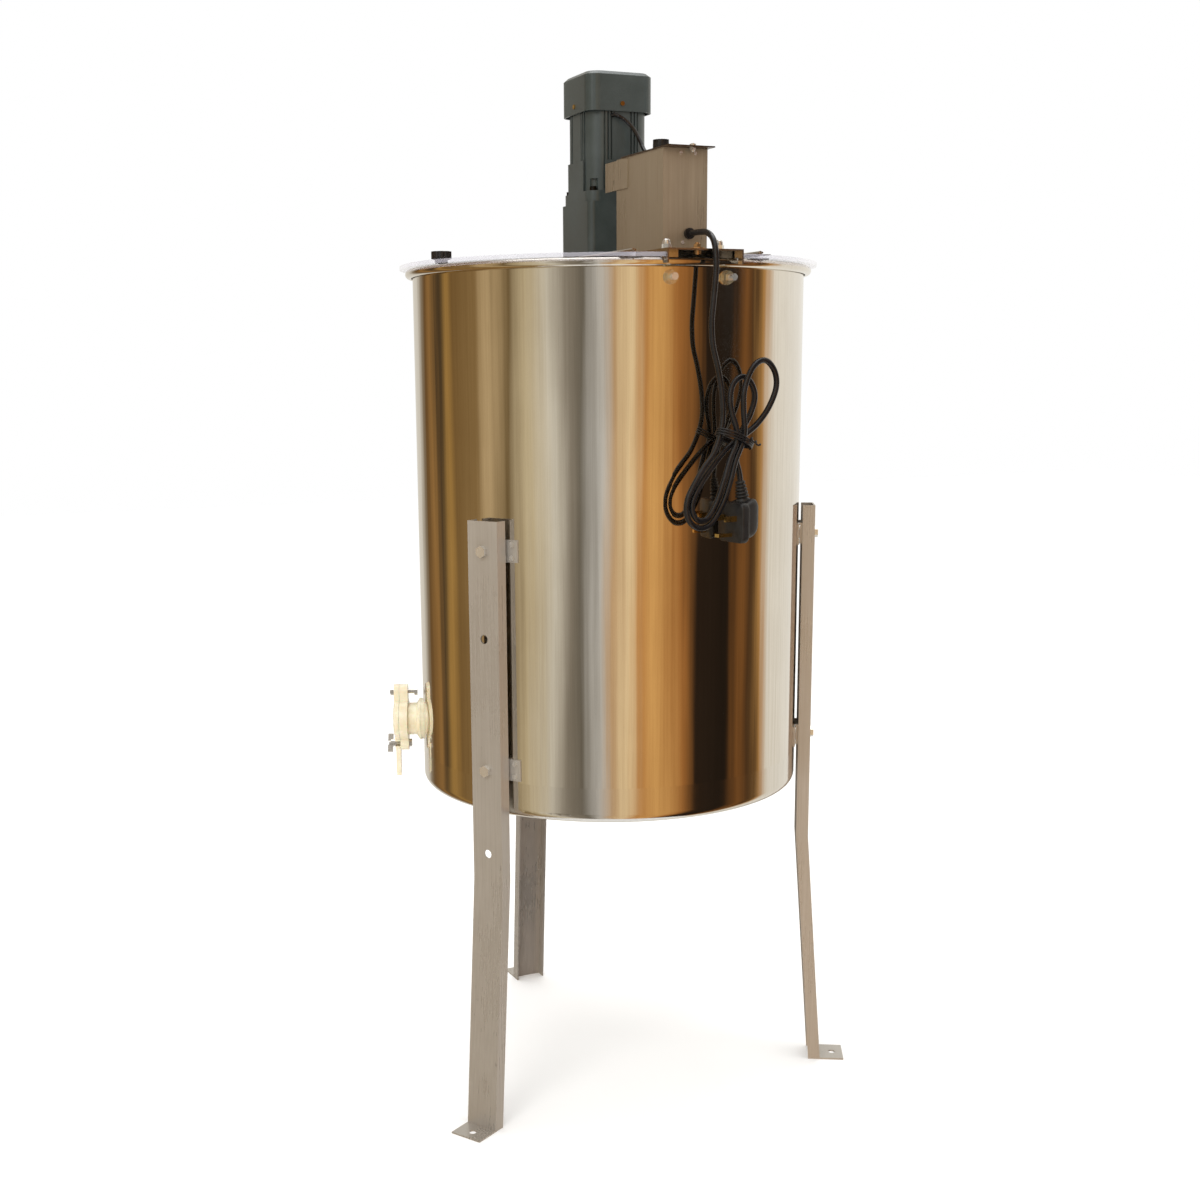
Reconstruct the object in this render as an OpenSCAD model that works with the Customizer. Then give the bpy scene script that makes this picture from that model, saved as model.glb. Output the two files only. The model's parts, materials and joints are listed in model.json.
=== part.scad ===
// Motor-driven honey extractor: steel tank on three legs, bridge with gear motor
// and control box, hinged clear lid, four-frame basket, honey gate and mains cord.
// Frame: origin on the tank's axis at floor level, +Z up, bridge along Y.

/* [Tank] */
// Outside diameter of the tank
tank_d = 500; // [440:1:600]
// Height from the pan's underside to the centre of the rolled rim
tank_h = 661; // [560:1:800]
// Height of the pan's underside above the floor
tank_base = 400; // [400:1:480]
// Sheet thickness of the wall and the pan
sheet_t = 1.2; // [0.8:0.1:2]
// Height of the pressed pan below the seam
pan_h = 44.6; // [30:0.1:60]
// Outside corner radius of the pan
pan_corner = 12; // [8:1:20]
// Rise of the pan's floor towards its centre
pan_rise = 26; // [10:1:35]
// Radius of the rolled rim's section
bead_r = 5.2; // [4:0.1:7]

/* [Legs] */
// Turn of the three legs from the bridge's line
leg_turn = 1.5; // [-10:0.5:10]
// Width of the channel's web
leg_w = 44.3; // [36:0.1:56]
// Depth of the channel
leg_deep = 15.9; // [12:0.1:22]
// Sheet thickness of the legs
leg_t = 2; // [1.5:0.1:3]
// Gap between the tank and the outside of the web
leg_stand = 20.3; // [19:0.1:26]
// Height of the leg's top end
leg_top = 766; // [740:1:800]
// Height where the leg bends outwards
leg_bend = 321; // [250:1:340]
// How far the leg spreads from the bend to the floor
leg_splay = 22.9; // [10:0.1:60]
// Length of the foot plate
foot_l = 32.3; // [24:0.1:45]
// Diameter of the hole in each foot
foot_hole_d = 10; // [8:0.5:12]
// Height of the upper leg bolt
leg_bolt_top = 729.7; // [700:0.1:740]
// Distance between the two bolts of a leg
leg_bolt_step = 268.8; // [240:0.1:290]
// Distance from each bolt to its spare hole below
spare_drop = 106; // [80:1:120]
// Diameter of the leg bolts
leg_bolt_d = 8; // [6:1:10]

/* [Bridge] */
// Width of the bridge channel
bridge_w = 98; // [96:1:110]
// Depth of the bridge channel
bridge_deep = 16.5; // [14:0.5:22]
// Sheet thickness of the bridge
bridge_t = 2; // [1.5:0.1:3]
// How far each end reaches past the tank's wall
bridge_over = 15; // [13:1:18]
// Half angle between the two brackets at a bridge end
bracket_spread = 8.3; // [7:0.1:9]
// Diameter of the bracket bolts
bracket_bolt_d = 8; // [6:1:8]

/* [Lid] */
// Thickness of the clear panes
lid_t = 4.5; // [3:0.1:6]
// How far the lid reaches past the tank's wall
lid_over = 16; // [13:0.5:19]
// Distance of each lid hinge from the bridge's centre line
hinge_x = 82; // [76:1:90]
// Distance of each lid knob from the axis
knob_x = 225; // [200:1:235]

/* [Gate] */
// Direction of the honey gate around the tank
gate_angle = 157.5; // [150:0.5:165]
// Height of the gate's bore above the pan's underside
gate_rise = 78; // [76:1:100]
// Diameter of the gate's bore
gate_bore_d = 38; // [30:1:40]
// Distance from the bore's centre up to the pivot bolt
gate_pivot_up = 38; // [36:1:42]
// Distance from the bore's centre down to the clamp bolt
gate_clamp_down = 33.5; // [33:0.5:36]
// Distance from the bore's centre down to the tip of the handle
gate_handle_down = 79; // [60:1:90]

/* [Gear motor] */
// Side of the square gearbox
gearbox_w = 90; // [88:1:96]
// Height of the gearbox
gearbox_h = 71.5; // [70:0.5:80]
// Side of the square adapter above the gearbox
adapter_w = 88; // [88:1:92]
// Height of the adapter's side pads
adapter_h = 50; // [40:1:60]
// Side of the finned motor housing
motor_w = 84; // [82:1:85]
// Height of the finned motor housing
motor_h = 96; // [90:1:120]
// Height of the fan cover
cover_h = 47; // [40:1:60]
// Diameter of the output shaft
out_shaft_d = 15; // [12:0.5:18]
// Turns of the layshaft about the axis, from +X
lay_angle = 45; // [45:90:315]

/* [Basket] */
// Diameter of the basket's shaft
shaft_d = 20; // [16:1:24]
// Distance from the axis to the inner side of a frame slot
slot_in = 124; // [110:1:126]
// Depth of a frame slot
slot_deep = 42; // [38:1:46]
// Height of the basket between its two spiders
basket_h = 490; // [420:1:500]
// Diameter of the mesh wires
wire_d = 2.5; // [2:0.5:4]

/* [Control box] */
// Width of the box
box_w = 57.4; // [50:0.1:60]
// Length of the box along the bridge
box_l = 124.8; // [110:0.1:130]
// Height of the box
box_h = 115; // [90:1:130]
// Distance from the axis to the box's front
box_front = 213.5; // [212:0.5:216]
// Sheet thickness of the box
box_t = 1.2; // [0.8:0.1:2]
// Diameter of the speed knob
dial_d = 19; // [15:1:24]

/* [Cord] */
// Diameter of the mains cord
cord_d = 7; // [6:0.5:7.5]
// Diameter of the motor lead
lead_d = 5; // [4:0.5:6]

/* [Hidden] */
$fn = 48;

// shared clearances
eps = 1;          // how far a cutter reaches past a face
run_gap = 0.05;   // radial clearance of a running fit
bolt_gap = 0.3;   // radial clearance of a bolt in its hole
body_gap = 0.3;   // gap between a moving piece and what it lies on

// tank
tank_r = tank_d / 2;
tank_in = tank_r - sheet_t;
rim_z = tank_base + tank_h;
seam_z = tank_base + pan_h;
curl_r = tank_in + bead_r;
floor_z = tank_base + pan_rise + sheet_t;
flat_r = 40;
lip_h = 8;
cup_flange_r = 30;
cup_r = 16;
cup_h = 20;
journal_r = 6;
bush_r = 9;
bush_h = 14;

// legs
web_r = tank_r + leg_stand;
leg_angles = [for (k = [0:2]) 90 + leg_turn + 120 * k];
ear_reach = 14;
hat_w = leg_w - 2 * leg_t - 0.6;
hat_t = 1.5;
hat_h = 27;
rivet_r = 2;
foot_hole_r = web_r + leg_splay + foot_l / 2 + 1.6;
bolt_levels = [leg_bolt_top, leg_bolt_top - leg_bolt_step];

// bridge, brackets and lid
bridge_z = rim_z + bead_r + 9.3;
bridge_under = bridge_z - bridge_t;
bridge_half = tank_r + bridge_over;
bracket_w = 2 * (bridge_w / 2 - bridge_t - 1.5 - tank_in * sin(bracket_spread));
bracket_t = 2;
bracket_drop = 43;
bracket_reach = 26;
wall_bolt_z = rim_z - 16.5;
acorn_r = tank_in - 13;
bracket_angles = [for (side = [-90, 90], k = [-1, 1]) side + k * bracket_spread];
lid_r = tank_r + lid_over;
lid_z = rim_z + bead_r;
lid_top = lid_z + body_gap + lid_t;
barrel_r = 2.3;
hinge_pin_r = 1.2;
hinge_z = lid_top + barrel_r;
hinge_half = sqrt(lid_r * lid_r - pow(hinge_x + 13, 2)) - 2;
knuckles = 9;

// gate: a local frame with +X out of the tank
gate_z = tank_base + gate_rise;
gate_hole_r = gate_bore_d / 2 + 2.3;
spout_r = gate_bore_d / 2 + 2.7;
disc_r = gate_bore_d / 2 + 9;
gate_face = tank_r + 3;
disc_in = gate_face + 18;
disc_out = disc_in + 11;
plate_in = disc_out + body_gap;
plate_t = 7;
gate_bolt_r = 3;
lug_r = 9.5;

// gear motor
gearbox_top = bridge_z + gearbox_h;
gearbox_floor = 9;
gearbox_wall = 4;
gearbox_corner = 8;
adapter_t = 13;
adapter_corner = 15;
housing_z = gearbox_top + adapter_t;
housing_top = housing_z + motor_h;
housing_corner = 26;
bore_r = 38;
cover_w = 90;
cover_t = 2.2;
cover_z = housing_top - 1;
cover_corner = 15;
bolt_xy = 36;
rotor_r = 5;
lay_r = 4;
gear_m = 1;        // gear module
teeth_pinion = 12;
teeth_wheel = 36;
teeth_lay = 16;
teeth_out = 32;
gear_gap = gear_m * (teeth_pinion + teeth_wheel) / 2;
out_gear_z = bridge_z + gearbox_floor + 4;
wheel_z = out_gear_z + 15;
gear_t = 9;
out_shaft_r = out_shaft_d / 2;
coupling_z = rim_z - 60;
coupling_h = 50;

// basket
shaft_r = shaft_d / 2;
wire_r = wire_d / 2;
spider_t = 4;
basket_z = tank_base + 66;
basket_top = basket_z + spider_t + basket_h;
slot_out = slot_in + slot_deep;
ring_out = slot_out + 2 * wire_d + 3;
corner_in = slot_in + 3;
rod_r = 4;

// control box
box_z = bridge_z;
box_top = box_z + box_h;
box_rear = box_front - box_l;
cover_plate_t = 1.5;
cover_lip = 15.5;
dial_y = -151;
dial_h = 15;
pot_bush_r = 3.5;
gland_x = 4.8;
gland_z = box_z + 20.1;
gland_r = 6.3;

// mains cord: the way it hangs from the gland to the hank
cord_r = cord_d / 2;
lead_r = lead_d / 2;
// tank radius and rim height that the routes below were laid for: they move with both
laid_r = 250;
laid_rim = 1061;
hank_angle = -82;
laid_move = [(tank_r - laid_r) * cos(hank_angle), (tank_r - laid_r) * sin(hank_angle), rim_z - laid_rim];
cord_route = [
  [gland_x, -(box_front + 6), gland_z], [8, -(box_front + 18.5), gland_z + 0.4],
  for (p = [
    [10, -248, 1094.5], [10, -263, 1086], [8, -273.5, 1070], [7, -276, 1048], [4, -276, 1016],
    [2, -276, 992], [4, -276, 967], [11, -275, 943], [17, -274, 916],
    [19, -274, 890], [16, -274, 870]
  ]) p + laid_move
];
lead_route = [
  for (p = [
    [-13, -motor_w / 2, 1250], [-9, -46, 1250], [2, -49, 1244], [11, -53, 1234],
    [16, -60, 1221], [17, -70, 1208], [16, -84, 1198], [14, -96, 1190], [12, -102, 1177],
    [12, -109, 1166], [12.7, -114, 1156]
  ]) p + [0, 0, laid_move[2]]
];
// the hank lies in a plane across hank_angle, at this distance from the axis
hank_r = tank_r + 25;
hank_t = 18;
// centre [across, height] and radius of the hank's ends and waist
hank_low = [-50, rim_z - 271, 28];
hank_waist = [-6, rim_z - 201, 16];
hank_high = [24, rim_z - 147, 38];
tie_t = 2.4;
plug_face = -11;
plug_low = rim_z - 320;
plug_w = 48;
plug_deep = 33;
plug_tall = 54;
plug_r = hank_r + 4;
// point at a distance across the hank's plane, a height and a distance from the axis
function on_hank(s, z, r) = [r * cos(hank_angle) - s * sin(hank_angle),
                             r * sin(hank_angle) + s * cos(hank_angle), z];
tail_route = [on_hank(3.5, rim_z - 250, plug_r), on_hank(3.2, rim_z - 239, plug_r - 1),
              on_hank(0, rim_z - 225, plug_r - 3), on_hank(-5, rim_z - 209, hank_r)];

// ---- shapes that repeat ----

// child turned so that its +X points away from the axis at this angle
module outward(a) { rotate([0, 0, a]) children(); }

// cylinder along +X
module rod_x(r, l, n = 48) { rotate([0, 90, 0]) cylinder(r = r, h = l, $fn = n); }

// hex prism along +Z, size across flats
module hex(af, h) { cylinder(d = af / cos(30), h = h, $fn = 6); }

// bolt along +Z: shank above 0, hex head below 0
module hex_bolt(d, l) {
  union() {
    cylinder(d = d, h = l, $fn = 32);
    translate([0, 0, -0.65 * d]) hex(1.6 * d, 0.65 * d);
  }
}

// nut from 0 up
module hex_nut(d) {
  difference() {
    hex(1.6 * d, 0.8 * d);
    translate([0, 0, -eps]) cylinder(d = d, h = 0.8 * d + 2 * eps, $fn = 32);
  }
}

module washer(d, od, t) {
  difference() {
    cylinder(d = od, h = t, $fn = 32);
    translate([0, 0, -eps]) cylinder(d = d, h = t + 2 * eps, $fn = 32);
  }
}

// ring from z0 up
module ring(ro, ri, h) {
  difference() {
    cylinder(r = ro, h = h);
    translate([0, 0, -eps]) cylinder(r = ri, h = h + 2 * eps);
  }
}

// square with rounded corners
module round_square(w, r) {
  union() {
    square([w, w - 2 * r], center = true);
    square([w - 2 * r, w], center = true);
    for (x = [-1, 1], y = [-1, 1]) translate([x * (w / 2 - r), y * (w / 2 - r)]) circle(r = r);
  }
}

module round_block(w, r, h) { linear_extrude(h) round_square(w, r); }

// spur gear outline: stub teeth with straight flanks and backlash
function tooth(i, n, rr, half) = let (a = 360 / n * i)
  [for (k = half) [(rr + k[0]) * cos(a + k[1] / rr * 57.3), (rr + k[0]) * sin(a + k[1] / rr * 57.3)]];
module gear(n, h, turn = 0) {
  pr = gear_m * n / 2;
  flank = [[-1.1, -0.95], [-0.1, -0.66], [0.35, -0.5], [0.75, -0.28],
           [0.75, 0.28], [0.35, 0.5], [-0.1, 0.66], [-1.1, 0.95]];
  pts = [for (i = [0:n - 1]) each tooth(i, n, pr, flank)];
  rotate([0, 0, turn]) linear_extrude(h) polygon(pts);
}

// Catmull-Rom points through a route, n steps a span
function cr(a, b, c, d, t) = 0.5 * ((2 * b) + (c - a) * t + (2 * a - 5 * b + 4 * c - d) * t * t
  + (3 * b - a - 3 * c + d) * t * t * t);
function smooth(p, n) = let (m = len(p) - 1) concat([for (i = [0:m - 1], j = [0:n - 1])
  cr(p[max(i - 1, 0)], p[i], p[i + 1], p[min(i + 2, m)], j / n)], [p[m]]);
function unit(v) = v / norm(v);

// closed tube along a route that never runs along X
module tube(route, r, n, sides) {
  p = smooth(route, n);
  m = len(p) - 1;
  rings = [for (i = [0:m]) let (t = unit(p[min(i + 1, m)] - p[max(i - 1, 0)]),
    u = unit(cross(t, [1, 0, 0])), v = cross(t, u))
    each [for (k = [0:sides - 1]) p[i] + r * (cos(360 / sides * k) * u + sin(360 / sides * k) * v)]];
  faces = concat([[for (k = [0:sides - 1]) k]],
    [for (i = [0:m - 1], k = [0:sides - 1]) let (k2 = (k + 1) % sides)
      [i * sides + k, (i + 1) * sides + k, (i + 1) * sides + k2, i * sides + k2]],
    [[for (k = [sides - 1:-1:0]) m * sides + k]]);
  polyhedron(rings, faces, convexity = 6);
}

// ---- tank ----

// the rolled wall, built of equal sectors that meet face to face
module tank_wall() {
  color("silver") difference() {
    rotate_extrude($fn = 180) difference() {
      union() {
        translate([tank_in, seam_z]) square([sheet_t, tank_h - pan_h]);
        translate([curl_r, rim_z]) difference() {
          circle(r = bead_r, $fn = 40);
          circle(r = bead_r - sheet_t, $fn = 40);
        }
      }
      translate([tank_r + 0.3, rim_z - bead_r - eps]) square([1.6, bead_r]);
    }
    outward(gate_angle) translate([tank_r - 10, 0, gate_z]) rod_x(gate_hole_r, 20);
    for (a = bracket_angles)
      outward(a) translate([tank_r - 10, 0, wall_bolt_z])
        rod_x(bracket_bolt_d / 2 + bolt_gap, 20, 32);
  }
}

module tank_pan() {
  cr_in = pan_corner - sheet_t;
  slope_r = tank_r - pan_corner;
  color("silver") rotate_extrude($fn = 180) union() {
    translate([tank_in, tank_base + pan_corner]) square([sheet_t, pan_h - pan_corner]);
    translate([tank_in - sheet_t, seam_z - 3]) square([sheet_t, lip_h + 3]);
    translate([slope_r, tank_base + pan_corner]) intersection() {
      difference() {
        circle(r = pan_corner, $fn = 40);
        circle(r = cr_in, $fn = 40);
      }
      translate([0, -pan_corner]) square(pan_corner);
    }
    polygon([[flat_r, floor_z - sheet_t], [slope_r, tank_base], [slope_r, tank_base + sheet_t],
             [flat_r, floor_z]]);
    translate([0, floor_z - sheet_t]) square([flat_r, sheet_t]);
  }
}

module pivot_cup() {
  color("silver") translate([0, 0, floor_z]) difference() {
    union() {
      cylinder(r = cup_flange_r, h = 3);
      cylinder(r = cup_r, h = cup_h);
    }
    translate([0, 0, cup_h - bush_h]) cylinder(r = bush_r, h = bush_h + eps);
  }
}

module pivot_bush() {
  color("peru") translate([0, 0, floor_z + cup_h - bush_h]) ring(bush_r, journal_r + run_gap, bush_h);
}

// ---- legs ----

// side outline of a channel leg in [distance from axis, height], moved in by d
function leg_side(d) = [
  [web_r - leg_deep - 5 * d, leg_top + d], [web_r - d, leg_top + d], [web_r - d, leg_bend],
  [web_r + leg_splay - d, 0], [web_r + leg_splay - d, -5 * d],
  [web_r + leg_splay - leg_deep - 5 * d, -5 * d], [web_r + leg_splay - leg_deep - 5 * d, 0],
  [web_r - leg_deep - 5 * d, leg_bend]];

module leg_profile(d, w) { translate([0, w / 2, 0]) rotate([90, 0, 0]) linear_extrude(w) polygon(leg_side(d)); }

module leg(k) {
  foot_x = web_r + leg_splay - leg_t;
  color("silver") outward(leg_angles[k]) difference() {
    union() {
      difference() {
        leg_profile(0, leg_w);
        leg_profile(leg_t, leg_w - 2 * leg_t);
      }
      translate([foot_x, -leg_w / 2, 0]) cube([foot_l + leg_t, leg_w, leg_t]);
    }
    for (z = bolt_levels, dz = [0, spare_drop])
      translate([web_r - 10, 0, z - dz]) rod_x(leg_bolt_d / 2 + (dz > 0 ? 1.4 : bolt_gap), 40, 32);
    translate([foot_hole_r, 0, -eps]) cylinder(d = foot_hole_d, h = leg_t + 2 * eps, $fn = 32);
  }
}

module leg_1() leg(0);
module leg_2() leg(1);
module leg_3() leg(2);

// bent bracket between tank and leg, with an ear on each side
module leg_bracket() {
  top_x = web_r - leg_t;
  difference() {
    union() {
      translate([tank_r - 6, -hat_w / 2, -hat_h / 2]) cube([top_x - tank_r + 6, hat_w, hat_h]);
      intersection() {
        translate([0, 0, -hat_h / 2]) cylinder(r = tank_r + hat_t, h = hat_h, $fn = 180);
        translate([tank_r - 12, -hat_w / 2 - ear_reach - 2, -hat_h / 2])
          cube([20, hat_w + 2 * ear_reach + 4, hat_h]);
      }
    }
    translate([tank_r - 13, -hat_w / 2 + hat_t, -hat_h / 2 - eps])
      cube([top_x - hat_t - tank_r + 13, hat_w - 2 * hat_t, hat_h + 2 * eps]);
    translate([0, 0, -hat_h / 2 - eps]) cylinder(r = tank_r, h = hat_h + 2 * eps, $fn = 180);
    translate([top_x - 5, 0, 0]) rod_x(leg_bolt_d / 2 + bolt_gap, 10, 32);
    for (s = [-1, 1], z = [-1, 1]) bracket_rivet(s, z) translate([-10, 0, 0]) rod_x(rivet_r, 20, 24);
  }
}

// places a child at one of a bracket's rivets, +X outwards
module bracket_rivet(s, z) {
  a = (hat_w / 2 + ear_reach / 2 + 1.5) / tank_r * 57.3;
  rotate([0, 0, s * a]) translate([tank_r, 0, z * 8]) children();
}

module leg_brackets() {
  color("silver") for (a = leg_angles, z = bolt_levels) outward(a) translate([0, 0, z]) leg_bracket();
}

module bracket_rivets() {
  color("gainsboro") for (a = leg_angles, z = bolt_levels, s = [-1, 1], k = [-1, 1])
    outward(a) translate([0, 0, z]) bracket_rivet(s, k) union() {
      rod_x(rivet_r, hat_t, 24);
      translate([hat_t, 0, 0]) rod_x(3.4, 1.1, 24);
    }
}

module leg_bolts() {
  nut_x = web_r - leg_t - hat_t;
  color("gainsboro") for (a = leg_angles, z = bolt_levels) outward(a) translate([0, 0, z]) {
    translate([web_r, 0, 0]) rotate([0, -90, 0]) hex_bolt(leg_bolt_d, leg_t + hat_t + 8);
    translate([nut_x, 0, 0]) rotate([0, -90, 0]) hex_nut(leg_bolt_d);
  }
}

// ---- bridge ----

module bridge() {
  notch_in = tank_in - 0.6;
  notch_out = curl_r + bead_r + 0.6;
  color("silver") difference() {
    translate([-bridge_w / 2, -bridge_half, bridge_z - bridge_deep])
      cube([bridge_w, 2 * bridge_half, bridge_deep]);
    translate([-bridge_w / 2 + bridge_t, -bridge_half - eps, bridge_z - bridge_deep - eps])
      cube([bridge_w - 2 * bridge_t, 2 * bridge_half + 2 * eps, bridge_deep - bridge_t + eps]);
    translate([0, 0, bridge_z - bridge_deep - eps])
      ring(notch_out, notch_in, rim_z + bead_r + 0.6 - bridge_z + bridge_deep + eps);
    translate([0, 0, bridge_under - eps]) {
      cylinder(r = out_shaft_r + 4, h = 2 * bridge_t + eps);
      for (x = [-1, 1], y = [-1, 1])
        translate([x * bolt_xy, y * bolt_xy, 0]) cylinder(r = 2.5 + bolt_gap, h = 2 * bridge_t + eps);
      for (a = bracket_angles)
        outward(a) translate([acorn_r, 0, 0]) cylinder(r = 3 + bolt_gap, h = 2 * bridge_t + eps);
      translate([0, -(acorn_r + 8), 0]) cylinder(r = 2.5 + bolt_gap, h = 2 * bridge_t + eps);
    }
  }
}

module bridge_brackets() {
  low = bridge_under - bracket_drop;
  color("silver") for (a = bracket_angles) outward(a) difference() {
    union() {
      intersection() {
        translate([tank_in - 10, -bracket_w / 2, low]) cube([20, bracket_w, bracket_drop]);
        translate([0, 0, low]) difference() {
          cylinder(r = tank_in, h = bracket_drop, $fn = 180);
          translate([0, 0, -eps]) cylinder(r = tank_in - bracket_t, h = bracket_drop + 2 * eps, $fn = 180);
        }
      }
      translate([tank_in - bracket_reach, -bracket_w / 2, bridge_under - bracket_t])
        cube([bracket_reach - 1.4, bracket_w, bracket_t]);
    }
    translate([tank_in - 20, 0, wall_bolt_z]) rod_x(bracket_bolt_d / 2 + bolt_gap, 30, 32);
    translate([acorn_r, 0, bridge_under - 10]) cylinder(r = 3 + bolt_gap, h = 20, $fn = 32);
  }
}

module wall_bolts() {
  color("gainsboro") for (a = bracket_angles)
    outward(a) translate([tank_in - bracket_t - 0.4, 0, wall_bolt_z]) rotate([0, 90, 0])
      hex_bolt(bracket_bolt_d, bracket_t + sheet_t + 17);
}

module wall_nuts() {
  color("burlywood") for (a = bracket_angles)
    outward(a) translate([tank_r, 0, wall_bolt_z]) rotate([0, 90, 0]) {
      washer(bracket_bolt_d, 17, 1.6);
      translate([0, 0, 1.6]) hex_nut(bracket_bolt_d);
    }
}

module acorn_bolts() {
  color("gainsboro") for (a = bracket_angles) outward(a) translate([acorn_r, 0, 0]) {
    translate([0, 0, bridge_under - bracket_t]) hex_bolt(6, bracket_t + bridge_t + 5.5);
    translate([0, 0, bridge_z]) washer(6, 14, 1.2);
    translate([0, 0, bridge_z + 1.2]) difference() {
      union() {
        hex(10, 5);
        cylinder(r = 4.6, h = 7);
        translate([0, 0, 7]) sphere(r = 4.6, $fn = 32);
      }
      translate([0, 0, -eps]) cylinder(r = 3, h = 4.3 + eps, $fn = 32);
    }
  }
}

module earth_screw() {
  translate([0, -(acorn_r + 8), 0]) {
    color("peru") translate([0, 0, bridge_under - 4]) cylinder(r = 2.5, h = bridge_t + 12, $fn = 32);
    color("peru") translate([0, 0, bridge_under - 3.5]) washer(5, 10, 3.5);
    color("white") translate([0, 0, bridge_z]) washer(5, 17, 2);
    color("gainsboro") translate([0, 0, bridge_z + 2]) hex_nut(5);
  }
}

// ---- honey gate ----

// places a child at the gate's centre height, +X out of the tank
module at_gate() { outward(gate_angle) translate([0, 0, gate_z]) children(); }

module gate_gasket() {
  color("dimgray") at_gate() difference() {
    translate([tank_r - 6, 0, 0]) rod_x(disc_r - 0.5, gate_face - tank_r + 6);
    translate([0, 0, -100]) cylinder(r = tank_r, h = 200, $fn = 180);
    translate([tank_r - 10, 0, 0]) rod_x(gate_hole_r, 20);
  }
}

module gate_body() {
  tail = tank_in - 12;
  color("ivory") at_gate() difference() {
    union() {
      translate([tail, 0, 0]) rod_x(gate_hole_r - 0.3, gate_face - tail + 1);
      translate([gate_face, 0, 0]) rod_x(disc_r, 2.5);
      translate([gate_face + 2.5, 0, 0]) rotate([0, 90, 0]) cylinder(r1 = disc_r, r2 = spout_r, h = 4);
      translate([gate_face, 0, 0]) rod_x(spout_r, disc_in - gate_face + 1);
      translate([disc_in, 0, 0]) rod_x(disc_r, disc_out - disc_in);
      translate([disc_in, 0, gate_pivot_up]) rod_x(lug_r, disc_out - disc_in);
      translate([disc_in, -lug_r, disc_r - 12]) cube([disc_out - disc_in, 2 * lug_r, gate_pivot_up - disc_r + 12]);
      translate([disc_in, 0, -gate_clamp_down]) rod_x(lug_r, disc_out - disc_in);
      translate([disc_in, -lug_r, -gate_clamp_down]) cube([disc_out - disc_in, 2 * lug_r, 20]);
    }
    translate([tail - eps, 0, 0]) rod_x(gate_bore_d / 2, disc_out - tail + 2 * eps);
    for (z = [gate_pivot_up, -gate_clamp_down]) translate([disc_in - eps, 0, z]) rod_x(gate_bolt_r, 20, 32);
  }
}

module gate_ring_nut() {
  nut_out = sqrt(pow(tank_in, 2) - pow(disc_r + 2, 2));
  color("ivory") at_gate() difference() {
    translate([nut_out - 7, 0, 0]) rod_x(disc_r + 2, 7);
    translate([nut_out - 8, 0, 0]) rod_x(gate_hole_r - 0.3, 10);
  }
}

module gate_bolts() {
  color("gainsboro") at_gate() {
    translate([disc_in - 9, 0, gate_pivot_up]) rotate([0, 90, 0]) hex_bolt(2 * gate_bolt_r, 33);
    translate([plate_in + plate_t + body_gap, 0, gate_pivot_up]) rotate([0, 90, 0]) hex_nut(2 * gate_bolt_r);
    translate([disc_in, 0, -gate_clamp_down]) rotate([0, 90, 0]) hex_bolt(2 * gate_bolt_r, 27);
  }
}

module gate_plate() {
  arm = gate_pivot_up + gate_clamp_down;
  color("ivory") at_gate() difference() {
    union() {
      translate([plate_in, 0, 0]) rod_x(disc_r, plate_t - 1);
      translate([plate_in + plate_t - 1, 0, 0]) rotate([0, 90, 0])
        cylinder(r1 = disc_r, r2 = disc_r - 6, h = 1.8);
      translate([plate_in, 0, gate_pivot_up]) rod_x(lug_r, plate_t);
      translate([plate_in, -lug_r, 0]) cube([plate_t, 2 * lug_r, gate_pivot_up]);
      translate([plate_in, -7, -gate_handle_down + 7]) cube([plate_t - 1, 14, gate_handle_down - 7]);
      translate([plate_in, 0, -gate_handle_down + 7]) rod_x(7, plate_t - 1);
      translate([plate_in, 0, -gate_clamp_down]) rod_x(lug_r, plate_t);
      translate([plate_in, -lug_r, -gate_clamp_down]) cube([plate_t, 2 * lug_r, 20]);
    }
    translate([plate_in - eps, 0, gate_pivot_up]) rod_x(gate_bolt_r + run_gap, 20, 32);
    // slot that lets the plate swing off the clamp bolt
    translate([plate_in - eps, 0, gate_pivot_up]) rotate([0, 90, 0]) intersection() {
      ring(arm + gate_bolt_r + 0.5, arm - gate_bolt_r - 0.5, 20);
      translate([0, 0, -eps]) cube([2 * arm, 40, 30]);
    }
    translate([plate_in - eps, 0, -gate_clamp_down]) rod_x(gate_bolt_r + 0.5, 20, 32);
  }
}

module wing_nut() {
  seat = plate_in + plate_t + body_gap;
  color("gainsboro") at_gate() translate([seat, 0, -gate_clamp_down]) difference() {
    union() {
      rod_x(5, 6);
      for (s = [0, 180]) rotate([s + 35, 0, 0]) translate([3, -1.2, 3]) cube([7, 2.4, 10]);
    }
    translate([-eps, 0, 0]) rod_x(gate_bolt_r + run_gap, 20, 32);
  }
}

// ---- gear motor ----

// places a child on the layshaft's axis
module at_lay() { rotate([0, 0, lay_angle]) translate([gear_gap, 0, 0]) children(); }

module corner_holes(r, h) {
  for (x = [-1, 1], y = [-1, 1]) translate([x * bolt_xy, y * bolt_xy, 0]) cylinder(r = r, h = h, $fn = 32);
}

module gearbox_housing() {
  color("darkslategray") translate([0, 0, bridge_z]) difference() {
    round_block(gearbox_w, gearbox_corner, gearbox_h);
    translate([0, 0, gearbox_floor]) difference() {
      round_block(gearbox_w - 2 * gearbox_wall, gearbox_corner - 3, gearbox_h);
      for (x = [-1, 1], y = [-1, 1]) translate([x * bolt_xy, y * bolt_xy, -eps]) cylinder(r = 6, h = gearbox_h);
    }
    translate([0, 0, -eps]) cylinder(r = 14, h = 20);
    translate([0, 0, 2]) at_lay() cylinder(r = 7, h = 20);
    translate([0, 0, -eps]) corner_holes(2.5, gearbox_h + 2 * eps);
  }
}

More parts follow.
